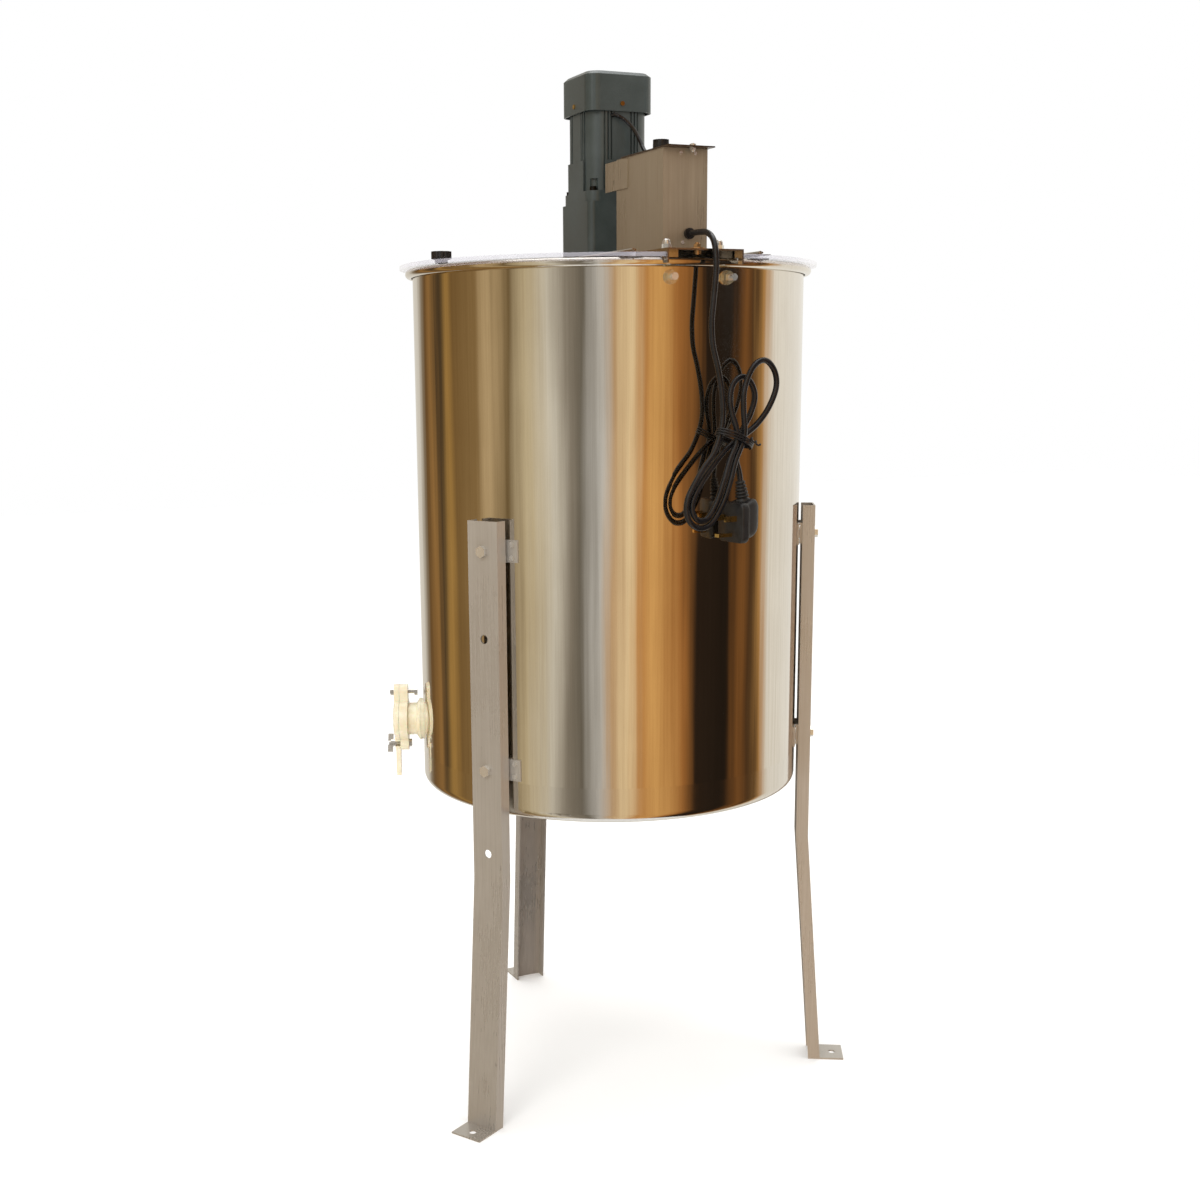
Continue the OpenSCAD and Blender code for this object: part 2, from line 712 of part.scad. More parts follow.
module gearbox_adapter() {
  pad_w = motor_w - 2 * housing_corner + 14;
  color("darkslategray") translate([0, 0, gearbox_top]) difference() {
    union() {
      round_block(adapter_w, adapter_corner, adapter_t);
      for (a = [0, 90, 180, 270]) rotate([0, 0, a])
        translate([motor_w / 2, -pad_w / 2, 0]) cube([(adapter_w - motor_w) / 2, pad_w, adapter_h]);
    }
    translate([0, 0, -eps]) cylinder(r = 15, h = adapter_t + 2 * eps);
    translate([0, 0, -eps]) at_lay() cylinder(r = 7, h = 8 + eps);
    translate([0, 0, -eps]) corner_holes(2.5 + bolt_gap, adapter_t + 2 * eps);
  }
}

module gearbox_bolts() {
  color("black") for (x = [-1, 1], y = [-1, 1]) translate([x * bolt_xy, y * bolt_xy, 0]) {
    translate([0, 0, bridge_under - 5]) cylinder(r = 2.5, h = housing_z - bridge_under + 5, $fn = 32);
    translate([0, 0, housing_z]) cylinder(r = 4.3, h = 5, $fn = 32);
    translate([0, 0, bridge_under - 4]) hex_nut(5);
  }
}

module motor_housing() {
  lug_top = 14;
  color("dimgray") difference() {
    union() {
      translate([0, 0, housing_z]) difference() {
        round_block(motor_w, housing_corner, motor_h);
        translate([0, 0, -eps]) cylinder(r = bore_r, h = motor_h - 8 + eps);
        translate([0, 0, -eps]) corner_holes(6, 16);
        for (a = [0, 90, 180, 270], t = [-22.5, -18, -13.5, 13.5, 18, 22.5])
          rotate([0, 0, a]) translate([motor_w / 2 - 2.4, t - 1.1, -eps]) cube([5, 2.2, motor_h + 2 * eps]);
      }
      for (a = [0, 90, 180, 270]) rotate([0, 0, a])
        translate([motor_w / 2 - 3, -5, housing_top - 3]) cube([3, 10, lug_top + 3]);
    }
    translate([0, 0, housing_top - 10]) cylinder(r = 13, h = 20);
  }
}

module stator() {
  low = housing_z + 15;
  color("sienna") {
    translate([0, 0, low]) ring(bore_r, rotor_r + 19, 60);
    translate([0, 0, low - 10]) ring(bore_r - 2, rotor_r + 21, 10);
    translate([0, 0, low + 60]) ring(bore_r - 2, rotor_r + 21, 10);
  }
}

module rotor() {
  low = housing_z + 15;
  color("lightsteelblue") union() {
    translate([0, 0, wheel_z - 1]) cylinder(r = 4, h = 16);
    translate([0, 0, wheel_z - 1]) gear(teeth_pinion, gear_t + 2, lay_angle);
    translate([0, 0, wheel_z + gear_t + 3]) cylinder(r = rotor_r, h = housing_top + 22 - wheel_z - gear_t - 3);
    translate([0, 0, low]) cylinder(r = rotor_r + 18.5, h = 60);
  }
}

module cooling_fan() {
  color("black") translate([0, 0, housing_top + 7]) difference() {
    union() {
      cylinder(r = 11, h = 14);
      ring(34, 30, 2);
      for (a = [0:60:300]) rotate([0, 0, a]) translate([9, -1, 0]) cube([24, 2, 13]);
    }
    translate([0, 0, -eps]) cylinder(r = rotor_r, h = 20);
  }
}

module bearings() {
  color("lightgray") {
    translate([0, 0, bridge_z]) ring(14, out_shaft_r + run_gap, gearbox_floor + 1);
    translate([0, 0, bridge_z + 2]) at_lay() ring(7, lay_r + run_gap, gearbox_floor - 2);
    translate([0, 0, gearbox_top]) at_lay() ring(7, lay_r + run_gap, 8);
    translate([0, 0, gearbox_top]) ring(15, rotor_r + run_gap, adapter_t);
    translate([0, 0, housing_top - 8]) ring(13, rotor_r + run_gap, 8);
  }
}

module layshaft() {
  color("lightsteelblue") at_lay() union() {
    translate([0, 0, bridge_z + 3]) cylinder(r = lay_r, h = gearbox_h + 4);
    translate([0, 0, out_gear_z - 0.5]) gear(teeth_lay, gear_t + 1, 0);
    translate([0, 0, out_gear_z + gear_t + 0.5]) cylinder(r = 7, h = wheel_z - out_gear_z - gear_t - 0.5);
    translate([0, 0, wheel_z]) gear(teeth_wheel, gear_t, 5);
  }
}

module output_shaft() {
  color("lightsteelblue") union() {
    translate([0, 0, coupling_z + 26]) cylinder(r = out_shaft_r, h = out_gear_z + gear_t + 2 - coupling_z - 26);
    translate([0, 0, out_gear_z]) gear(teeth_out, gear_t, lay_angle + 5.625);
  }
}

module fan_cover() {
  inner = cover_w - 2 * cover_t;
  color("darkslategray") difference() {
    hull() {
      translate([0, 0, cover_z]) round_block(cover_w, cover_corner, cover_h - 4, $fn = 32);
      translate([0, 0, cover_z]) round_block(cover_w - 8, cover_corner, cover_h, $fn = 32);
    }
    translate([0, 0, cover_z - eps]) round_block(inner, cover_corner - cover_t, cover_h - 5);
    for (a = [0, 90, 180, 270]) rotate([0, 0, a])
      translate([motor_w / 2 - 2, 0, housing_top + 8]) rod_x(1.5, 10, 24);
  }
}

module cover_screws() {
  color("goldenrod") for (a = [0, 90, 180, 270]) rotate([0, 0, a])
    translate([motor_w / 2, 0, housing_top + 8]) union() {
      rod_x(1.5, cover_w / 2 - motor_w / 2, 24);
      translate([cover_w / 2 - motor_w / 2, 0, 0]) rod_x(2.8, 1.4, 24);
    }
}

module motor_lead() { color("black") tube(lead_route, lead_r, 3, 8); }

// ---- control box ----

module control_box() {
  ear_low = box_top - 35.7;
  color("rosybrown") difference() {
    union() {
      translate([-box_w / 2, -box_front, box_z]) difference() {
        cube([box_w, box_l, box_h]);
        translate([box_t, box_t, -eps]) cube([box_w - 2 * box_t, box_l - 2 * box_t, box_h + 2 * eps]);
      }
      translate([-box_w / 2 - 1.3, -box_rear - 33.3, ear_low]) cube([1.3, 63, 34.4]);
    }
    translate([gland_x, -box_front - eps, gland_z]) rotate([-90, 0, 0]) cylinder(r = 5.2, h = 5, $fn = 32);
    for (p = [[-6.3, box_h - 5], [12.5, box_h - 5], [-3.2, 10]])
      translate([p[0], -box_front - eps, box_z + p[1]]) rotate([-90, 0, 0]) cylinder(r = 1.5, h = 5, $fn = 24);
    translate([-box_w / 2 - 3, -box_rear + 4, ear_low + 7]) cube([5, 2, 5]);
  }
}

module box_cover() {
  rear = box_rear + 15;
  color("darkslategray") difference() {
    translate([-box_w / 2 - 1.5, -box_front - cover_lip, box_top])
      cube([box_w + 3, box_front + cover_lip - rear, cover_plate_t]);
    translate([0, dial_y, box_top - eps]) cylinder(r = pot_bush_r, h = 5);
    translate([5.3, -box_front - cover_lip / 2, box_top - eps]) cylinder(r = 2.2, h = 5, $fn = 32);
  }
}

module box_screws() {
  color("gainsboro") {
    translate([5.3, -box_front - cover_lip / 2, 0]) {
      translate([0, 0, box_top - 5]) cylinder(r = 2, h = 5 + cover_plate_t + 3, $fn = 32);
      translate([0, 0, box_top - 3.2]) hex_nut(4);
      translate([0, 0, box_top + cover_plate_t]) washer(4, 7.5, 2.2);
    }
    for (p = [[-6.3, box_h - 5], [12.5, box_h - 5], [-3.2, 10]])
      translate([p[0], -box_front, box_z + p[1]]) rotate([90, 0, 0]) union() {
        translate([0, 0, -3]) cylinder(r = 1.5, h = 3, $fn = 24);
        cylinder(r = 2.2, h = 1, $fn = 24);
      }
  }
}

module speed_pot() {
  color("dimgray") translate([0, dial_y, box_top]) union() {
    translate([0, 0, -10]) cylinder(r = 9, h = 10);
    translate([0, 0, -1]) cylinder(r = pot_bush_r, h = cover_plate_t + 9);
  }
}

module circuit_board() {
  color("seagreen") union() {
    translate([17, -box_front + 14, box_z + 8]) cube([1.6, box_l - 34, 88]);
    translate([5, -box_front + 26, box_z + 40]) cube([12.5, 22, 16]);
    translate([3, -box_front + 56, box_z + 24]) cube([14.5, 14, 26]);
    translate([9, -box_front + 30, box_z + 70]) cube([8.5, 40, 10]);
    translate([8, -box_rear - 32, box_top - 56]) cube([9.5, 12, 24]);
    for (y = [6, box_l - 40], z = [8, 80]) translate([18, -box_front + 14 + y, box_z + 8 + z])
      rod_x(2.5, box_w / 2 - box_t - 18, 24);
  }
}

module speed_knob() {
  foot = box_top + cover_plate_t + 0.5;
  color("black") translate([0, dial_y, foot]) difference() {
    cylinder(d = dial_d, h = dial_h);
    translate([0, 0, -eps]) cylinder(r = pot_bush_r + run_gap, h = 9 + eps);
    for (a = [0:20:340]) rotate([0, 0, a]) translate([dial_d / 2 - 0.8, -0.8, 2]) cube([3, 1.6, dial_h]);
  }
}

module cable_gland() {
  color("black") translate([gland_x, -box_front, gland_z]) rotate([90, 0, 0]) union() {
    cylinder(r = gland_r, h = 4);
    cylinder(r = gland_r - 1.6, h = 6);
    translate([0, 0, -3]) cylinder(r = 5.2, h = 3);
    translate([0, 0, -box_t - 2]) cylinder(r = gland_r, h = 2);
  }
}

// ---- mains cord ----

module power_cord() {
  color("black") tube(cord_route, cord_r, 3, 8);
  color("black") tube(tail_route, cord_r, 3, 8);
}

// child drawn in the hank's plane: X across, Y up, extruded outwards from the middle
module in_hank(t) { rotate([0, 0, hank_angle]) translate([hank_r - t / 2, 0, 0])
  rotate([90, 0, 90]) linear_extrude(t) children(); }

module spot(p) { translate([p[0], p[1]]) circle(r = p[2], $fn = 32); }

module cord_hank() {
  color("black") in_hank(hank_t) union() {
    hull() {
      spot(hank_low);
      spot(hank_waist);
    }
    hull() {
      spot(hank_waist);
      spot(hank_high);
    }
  }
}

module cord_tie() {
  half = hank_waist[2];
  color("black") rotate([0, 0, hank_angle]) translate([hank_r, hank_waist[0] - 4, hank_waist[1]])
    rotate([-30, 0, 0]) difference() {
      cube([hank_t + 2 * tie_t, 2 * half + 16, 5], center = true);
      cube([hank_t - 0.6, 2 * half + 10, 6], center = true);
    }
}

module plug_body() {
  color("black") rotate([0, 0, hank_angle]) translate([plug_r, plug_face, plug_low]) union() {
    hull() {
      for (x = [-1, 1], z = [8, plug_tall - 9])
        translate([x * (plug_w / 2 - 8), 0, z]) rotate([-90, 0, 0]) cylinder(r = 8, h = 11, $fn = 32);
    }
    hull() {
      for (x = [-1, 1], z = [11, plug_tall - 12])
        translate([x * (plug_w / 2 - 12), 0, z]) rotate([-90, 0, 0]) cylinder(r = 9, h = plug_deep, $fn = 32);
    }
    translate([0, 18, plug_tall - 4]) rotate([10, 0, 0]) cylinder(r1 = 8, r2 = 5.5, h = 22);
  }
}

module plug_pins() {
  color("goldenrod") rotate([0, 0, hank_angle]) translate([plug_r, plug_face, plug_low]) {
    translate([-4, -19, 7]) cube([8, 19, 4]);
    for (x = [-11, 11]) translate([x - 2, -15.5, 25.5]) cube([4, 15.5, 6.4]);
  }
}

// ---- lid ----

// slice of the lid's disc between two distances from the bridge's centre line
module lid_slice(x0, x1, z0, t) {
  intersection() {
    translate([0, 0, z0]) cylinder(r = lid_r, h = t, $fn = 180);
    translate([x0, -lid_r - eps, z0 - eps]) cube([x1 - x0, 2 * lid_r + 2 * eps, t + 2 * eps]);
  }
}

module lid_strips() {
  color("lightblue", 0.5) for (s = [0, 180]) rotate([0, 0, s])
    lid_slice(bridge_w / 2, hinge_x - 0.5, lid_z, lid_t + body_gap);
}

module lid_flap() {
  difference() {
    lid_slice(hinge_x + 0.5, lid_r + eps, lid_z + body_gap, lid_t);
    translate([knob_x, 0, lid_z]) cylinder(r = 3, h = 20, $fn = 32);
  }
}

module lid_right() { color("lightblue", 0.5) lid_flap(); }
module lid_left() { color("lightblue", 0.5) rotate([0, 0, 180]) lid_flap(); }

// hinge knuckles, every second one, and the leaf that joins them
module hinge_leaf(first, side, bore) {
  step = 2 * hinge_half / knuckles;
  reach = 11;
  difference() {
    union() {
      translate([side > 0 ? hinge_x + barrel_r + 0.3 : hinge_x - barrel_r - 0.3 - reach, -hinge_half, lid_top])
        cube([reach, 2 * hinge_half, 0.8]);
      for (k = [first:2:knuckles - 1]) translate([hinge_x, -hinge_half + k * step + 0.2, 0]) {
        translate([0, 0, hinge_z]) rotate([-90, 0, 0]) cylinder(r = barrel_r, h = step - 0.4, $fn = 32);
        translate([side > 0 ? 0 : -barrel_r - 1, 0, lid_top]) cube([barrel_r + 1, step - 0.4, 0.8]);
      }
    }
    translate([hinge_x, -hinge_half - eps, hinge_z]) rotate([-90, 0, 0])
      cylinder(r = bore, h = 2 * hinge_half + 2 * eps, $fn = 32);
  }
}

module hinge_pin() {
  translate([hinge_x, -hinge_half - 4, hinge_z]) rotate([-90, 0, 0])
    cylinder(r = hinge_pin_r, h = 2 * hinge_half + 8, $fn = 32);
}

module hinge_fixed_leaves() {
  color("silver") for (s = [0, 180]) rotate([0, 0, s]) union() {
    hinge_leaf(0, -1, hinge_pin_r - 0.05);
    hinge_pin();
  }
}

module hinge_right_leaf() { color("silver") hinge_leaf(1, 1, hinge_pin_r + run_gap); }
module hinge_left_leaf() { color("silver") rotate([0, 0, 180]) hinge_leaf(1, 1, hinge_pin_r + run_gap); }

module lid_knob() {
  translate([knob_x, 0, 0]) union() {
    translate([0, 0, lid_top]) cylinder(r = 8, h = 5);
    translate([0, 0, lid_top + 5]) difference() {
      cylinder(r = 12.5, h = 9);
      for (a = [0:45:315]) rotate([0, 0, a]) translate([14.3, 0, -eps]) cylinder(r = 3, h = 12, $fn = 24);
    }
    translate([0, 0, lid_z + body_gap - 5]) cylinder(r = 3, h = lid_t + 6, $fn = 32);
    translate([0, 0, lid_z + body_gap - 4]) hex(10, 4);
  }
}

module lid_knob_right() { color("black") lid_knob(); }
module lid_knob_left() { color("black") rotate([0, 0, 180]) lid_knob(); }

// ---- basket ----

module basket_shaft() {
  color("silver") union() {
    translate([0, 0, floor_z + cup_h - bush_h + 1]) cylinder(r = journal_r, h = bush_h + 1);
    translate([0, 0, floor_z + cup_h + body_gap]) cylinder(r = shaft_r, h = coupling_z + 24 - floor_z - cup_h - body_gap);
  }
}

module shaft_coupling() {
  color("silver") translate([0, 0, coupling_z]) difference() {
    cylinder(r = shaft_r + 6, h = coupling_h);
    translate([0, 0, -eps]) cylinder(r = shaft_r, h = 25 + eps);
    translate([0, 0, -eps]) cylinder(r = out_shaft_r, h = coupling_h + 2 * eps);
  }
}

// eight-sided outline with its long sides at this distance
module octagon(d, c) {
  polygon([[d, c], [c, d], [-c, d], [-d, c], [-d, -c], [-c, -d], [c, -d], [d, -c]]);
}

module spider(bars) {
  linear_extrude(spider_t) difference() {
    union() {
      difference() {
        octagon(ring_out, corner_in);
        octagon(slot_out + 0.2, corner_in - 3);
      }
      difference() {
        square(2 * slot_in, center = true);
        square(2 * slot_in - 16, center = true);
      }
      for (a = [45:90:315]) rotate(a) translate([0, -5]) square([(corner_in + ring_out) / sqrt(2) - 2, 10]);
      circle(r = shaft_r + 12);
      if (bars) for (a = [0:90:270], t = [-60, 60]) rotate(a) translate([slot_in - 4, t - 4]) square([slot_deep + 6, 8]);
    }
    circle(r = shaft_r);
  }
}

module basket_frame() {
  rod_at = ring_out - rod_r - 1;
  low = basket_z + spider_t;
  color("gainsboro") {
    translate([0, 0, basket_z]) spider(true);
    translate([0, 0, basket_top]) spider(false);
    for (a = [0:90:270], t = [-1, 1]) rotate([0, 0, a])
      translate([rod_at, t * (corner_in - 1), low]) cylinder(r = rod_r, h = basket_top - low, $fn = 24);
    for (a = [45:90:315]) rotate([0, 0, a])
      translate([slot_in * sqrt(2) - 10, 0, low]) cylinder(r = rod_r, h = basket_top - low, $fn = 24);
    for (z = [low, basket_top - 16]) translate([0, 0, z]) ring(shaft_r + 8, shaft_r, 16);
  }
}

module basket_mesh() {
  low = basket_z + spider_t;
  high = basket_top;
  half = corner_in - 8;
  rows = 12;
  cols = 8;
  color("gainsboro") for (a = [0:90:270]) rotate([0, 0, a]) {
    for (k = [0:cols]) translate([slot_out + 1.6 * wire_d, -half + 2 * half / cols * k, low])
      cylinder(r = wire_r, h = high - low, $fn = 16);
    for (k = [0:rows - 1]) translate([slot_out + 0.55 * wire_d, half + 3, low + (high - low) / rows * (k + 0.5)])
      rotate([90, 0, 0]) cylinder(r = wire_r, h = 2 * half + 6, $fn = 16);
  }
}

tank_wall();
tank_pan();
pivot_cup();
pivot_bush();
leg_1();
leg_2();
leg_3();
leg_brackets();
bracket_rivets();
leg_bolts();
bridge();
bridge_brackets();
wall_bolts();
wall_nuts();
acorn_bolts();
earth_screw();
gate_gasket();
gate_body();
gate_ring_nut();
gate_bolts();
gate_plate();
wing_nut();
gearbox_housing();
gearbox_adapter();
gearbox_bolts();
motor_housing();
stator();
rotor();
cooling_fan();
bearings();
layshaft();
output_shaft();
fan_cover();
cover_screws();
motor_lead();
control_box();
box_cover();
box_screws();
speed_pot();
circuit_board();
speed_knob();
cable_gland();
power_cord();
cord_hank();
cord_tie();
plug_body();
plug_pins();
lid_strips();
lid_left();
lid_right();
hinge_fixed_leaves();
hinge_left_leaf();
hinge_right_leaf();
lid_knob_left();
lid_knob_right();
basket_shaft();
basket_frame();
basket_mesh();
shaft_coupling();
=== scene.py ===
# %% [markdown]
# # A honey extractor in Blender
# The extractor is a polished steel tank on three channel legs. A gear motor on a bridge spins a
# basket of frames inside it. The measured model comes in first and is never moved: the finishes,
# the cord and the small moulded pieces are built around it.

# %% Load the measured model
import json
import math
import bmesh
import bpy
from mathutils import Matrix, Vector


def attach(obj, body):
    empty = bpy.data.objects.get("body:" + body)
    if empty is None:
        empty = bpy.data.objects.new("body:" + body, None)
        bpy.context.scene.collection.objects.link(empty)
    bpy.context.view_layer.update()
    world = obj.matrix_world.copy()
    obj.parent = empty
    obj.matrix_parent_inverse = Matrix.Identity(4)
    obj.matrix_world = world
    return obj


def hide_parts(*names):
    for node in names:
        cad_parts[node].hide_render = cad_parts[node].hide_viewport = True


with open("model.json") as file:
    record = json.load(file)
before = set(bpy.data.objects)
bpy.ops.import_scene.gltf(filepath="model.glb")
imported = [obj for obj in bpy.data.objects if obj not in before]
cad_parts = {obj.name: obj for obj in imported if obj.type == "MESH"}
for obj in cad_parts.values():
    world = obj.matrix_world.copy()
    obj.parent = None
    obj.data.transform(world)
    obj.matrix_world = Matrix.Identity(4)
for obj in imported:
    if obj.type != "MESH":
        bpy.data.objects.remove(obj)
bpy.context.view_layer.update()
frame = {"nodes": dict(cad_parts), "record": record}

parts = frame["nodes"]

# %% [markdown]
# ## The camera
# It stands a little to the left of the control box and looks down by about eleven degrees.
# The small shift keeps the legs upright in the frame without turning the camera further.

# %% Place the camera
CAMERA_PLACE = Vector((-0.87581, -1.87819, 0.94692))
HEADING, DOWN, ROLL = math.radians(23.27), math.radians(10.887), 0.0082
LENS, SHIFT_X, SHIFT_Y = 46.89, 0.0317, 0.0547

look = Vector((math.sin(HEADING) * math.cos(DOWN), math.cos(HEADING) * math.cos(DOWN), -math.sin(DOWN)))
facing = look.to_track_quat("-Z", "Y") @ Matrix.Rotation(-ROLL, 3, "Z").to_quaternion()
camera = bpy.data.objects.new("camera", bpy.data.cameras.new("camera"))
bpy.context.scene.collection.objects.link(camera)
camera.location = CAMERA_PLACE
camera.rotation_euler = facing.to_euler()
camera.data.sensor_width = 36
camera.data.lens = LENS
camera.data.shift_x, camera.data.shift_y = SHIFT_X, SHIFT_Y
bpy.context.scene.camera = camera
print("camera looks along", [round(v, 3) for v in look])

# %% [markdown]
# ## Two tools for meshes
# Most pieces are either a loft, which is a skin over a row of rings, or a tube, which is a curve
# with a round section. A loft closes its ends with a fan around a middle point, so that a rounded
# end has no thin slivers.

# %% Make an object, loft rings, sweep tubes
MM = 0.001

def add(name, data):
    thing = bpy.data.objects.new(name, data)
    bpy.context.scene.collection.objects.link(thing)
    return thing

def mesh_of(name, points, faces, smooth=True):
    mesh = bpy.data.meshes.new(name)
    mesh.from_pydata([tuple(p) for p in points], [], faces)
    shell = bmesh.new()
    shell.from_mesh(mesh)
    bmesh.ops.remove_doubles(shell, verts=shell.verts, dist=1e-7)
    bmesh.ops.recalc_face_normals(shell, faces=shell.faces)
    shell.to_mesh(mesh)
    shell.free()
    mesh.shade_smooth() if smooth else mesh.shade_flat()
    return add(name, mesh)

def loft_faces(rings, first=0, ends=True):
    """Points and faces of a skin over rings of equal counts."""
    n, points, faces = len(rings[0]), [p for ring in rings for p in ring], []
    for i in range(len(rings) - 1):
        for k in range(n):
            a, b = first + i * n + k, first + i * n + (k + 1) % n
            faces.append((a, b, b + n, a + n))
    if ends:
        for ring, start, turn in ((rings[0], first, -1), (rings[-1], first + (len(rings) - 1) * n, 1)):
            points.append(sum((Vector(p) for p in ring), Vector()) / n)
            middle = first + len(points) - 1
            for k in range(n):
                pair = (start + k, start + (k + 1) % n)[::turn]
                faces.append((*pair, middle))
    return points, faces

def loft(name, stacks, place=Matrix.Identity(4), smooth=True):
    """One object from several stacks of rings."""
    points, faces = [], []
    for rings in stacks:
        p, f = loft_faces(rings, len(points))
        points += p
        faces += f
    return mesh_of(name, [place @ Vector(p) for p in points], faces, smooth)

def round_ring(w, d, corner, z, steps=6):
    """A rectangle with round corners, w by d, at height z."""
    ring = []
    for q, (sx, sy) in enumerate(((1, 1), (-1, 1), (-1, -1), (1, -1))):
        for k in range(steps + 1):
            a = math.radians(90 * q + 90 * k / steps)
            ring.append(Vector((sx * (w / 2 - corner) + corner * math.cos(a),
                                sy * (d / 2 - corner) + corner * math.sin(a), z)))
    return ring

def circle_ring(r, z, n=48):
    turns = [math.tau * k / n for k in range(n)]
    return [Vector((r * math.cos(a), r * math.sin(a), z)) for a in turns]

def smooth_line(points, steps):
    """A curve through points, steps to a span, with the spans' bends matched."""
    line, last = [], len(points) - 1
    for i in range(last):
        a, b, c, d = (points[max(i - 1, 0)], points[i], points[i + 1], points[min(i + 2, last)])
        for k in range(steps):
            t = k / steps
            line.append(0.5 * (2 * b + (c - a) * t + (2 * a - 5 * b + 4 * c - d) * t * t
                               + (3 * b - a - 3 * c + d) * t ** 3))
    return line + [points[-1]]

def cable(name, points, radius, sides=4):
    """A round cable along points, as a curve of one open spline."""
    curve = bpy.data.curves.new(name, "CURVE")
    curve.dimensions, curve.bevel_depth, curve.bevel_resolution = "3D", radius, sides
    curve.use_fill_caps = True
    spline = curve.splines.new("POLY")
    spline.points.add(len(points) - 1)
    for point, place in zip(spline.points, points):
        point.co = (*place, 1)
    spline.use_smooth = True
    return add(name, curve)

# %% [markdown]
# ## The mains cord
# The cord leaves the box through a gland, hangs down the tank and is folded into a hank with two
# long loops below and two above. A fold crosses the waist in front of or behind its neighbours, so
# each point states how far it lies from the tank's axis: three layers, a diameter apart.

# %% Lay the cord's route
CORD_D = 0.007
HANK_TURN = math.radians(-82)
out_of_tank = Vector((math.cos(HANK_TURN), math.sin(HANK_TURN), 0))
across_hank = Vector((-math.sin(HANK_TURN), math.cos(HANK_TURN), 0))

def on_hank(across, height, reach):
    """A point of the hank's plane, from millimetres."""
    return (across_hank * across + out_of_tank * reach) * MM + Vector((0, 0, height * MM))

hanging = [Vector(p) * MM for p in (
    (4.8, -219.5, 1095.6), (8, -232, 1096), (10, -248, 1094.5), (10, -263, 1086), (8, -273.5, 1070),
    (7, -276, 1048), (4, -276, 1016), (2, -276, 992), (4, -276, 967), (11, -275, 943),
    (17, -274, 916), (19, -274, 890))]
folds = {
    "outer loop below": [(-24, 868, 276), (-35, 846, 279), (-48, 832, 280), (-61, 816, 281),
                         (-73, 796, 281), (-75, 779, 281), (-68, 766, 281), (-55, 760, 281),
                         (-40, 765, 281), (-24, 786, 281), (-13, 812, 281), (-6, 836, 281.5),
                         (4, 858, 282)],
    "loop above, to the right": [(6, 873, 282.5), (4, 895, 282.5), (5, 916, 282), (14, 937, 281),
                                 (28, 949, 279), (43, 949, 277), (55, 936, 276), (57, 918, 275.5),
                                 (47, 896, 275), (31, 878, 275), (15, 867, 275), (-3, 857, 274.5)],
    "inner loop below": [(-20, 845, 275), (-37, 829, 277), (-53, 812, 279), (-65, 794, 280),
                         (-67, 780, 281), (-59, 770, 281), (-46, 771, 281), (-33, 788, 281),
                         (-22, 814, 281), (-14, 838, 281.5), (-5, 857, 282)],
    "loop above, in the middle": [(-5, 873, 281), (-10, 891, 278.5), (-11, 908, 276), (-5, 924, 274),
                                  (8, 932, 273), (22, 926, 271.5), (30, 909, 270), (25, 889, 268.5),
                                  (14, 870, 267.5), (5, 850, 269), (2.5, 836, 272), (3, 822, 277),
                                  (3.5, 811, 279)]}
route = hanging + [on_hank(*p) for fold in folds.values() for p in fold]
line = smooth_line(route, 6)
cord_length = sum((b - a).length for a, b in zip(line, line[1:]))
power_cable = cable("power_cable", line, CORD_D / 2)
print("the cord is", round(cord_length, 3), "m long")

# %% [markdown]
# ## The plug and the tie
# The plug is one soft moulding: a flange at the pins, a waist for the fingers and a tapered relief
# with ribs where the cord enters. It is lofted from round-cornered rings. The tie is a thin coated
# wire, wrapped three times and twisted at its ends.

# %% Mould the plug
PLUG_PLACE = Matrix.Rotation(HANK_TURN, 4, "Z") @ Matrix.Translation(Vector((279, -11, 741)) * MM)

def plug_ring(depth, half_w, low, high, corner):
    """A ring of the plug at a depth behind its pin face."""
    ring = round_ring(2 * half_w * MM, (high - low) * MM, corner * MM, 0)
    return [Vector((p.x, depth * MM, p.y + (low + high) / 2 * MM)) for p in ring]

body_rings = [plug_ring(*row) for row in (
    (0, 22.6, 1.4, 45.6, 7), (0.8, 23.6, 0.4, 46.6, 8), (2.2, 24, 0, 47, 8), (8.5, 24, 0, 47, 8),
    (10.2, 23.4, 0.6, 46.6, 8), (11.4, 21.6, 2.4, 46.4, 8), (12.6, 20.6, 3.4, 46.6, 8),
    (15, 20.2, 4, 47.6, 8.5),
    (20, 19, 5, 49.6, 9), (25, 17.4, 6.6, 50.6, 9), (29, 15.2, 9, 50.2, 9), (31.6, 12.6, 12, 48.4, 8.5),
    (32.8, 9.4, 16, 45, 7), (33, 6, 20, 41, 5))]
lean = Matrix.Translation(Vector((0, 18, 49)) * MM) @ Matrix.Rotation(math.radians(10), 4, "X")
RIBS, RIB_STEP, GROOVE = 5, 4, 1.9
relief_rows = [(8.8, -4), (8.6, 1)]
for step in range(RIBS):
    low, width = 2.4 + RIB_STEP * step, 8 - 0.55 * step
    relief_rows += [(width - GROOVE, low), (width - GROOVE, low + 1.1),
                    (width, low + 1.4), (width - 0.2, low + 3.6)]
relief_rows += [(4.2, 22.6), (3.9, 22.9)]
relief_rings = [[lean @ p for p in circle_ring(r * MM, z * MM, 28)] for r, z in relief_rows]
plug = loft("moulded_plug", [body_rings, relief_rings], PLUG_PLACE)
print("the plug has", len(plug.data.polygons), "faces")

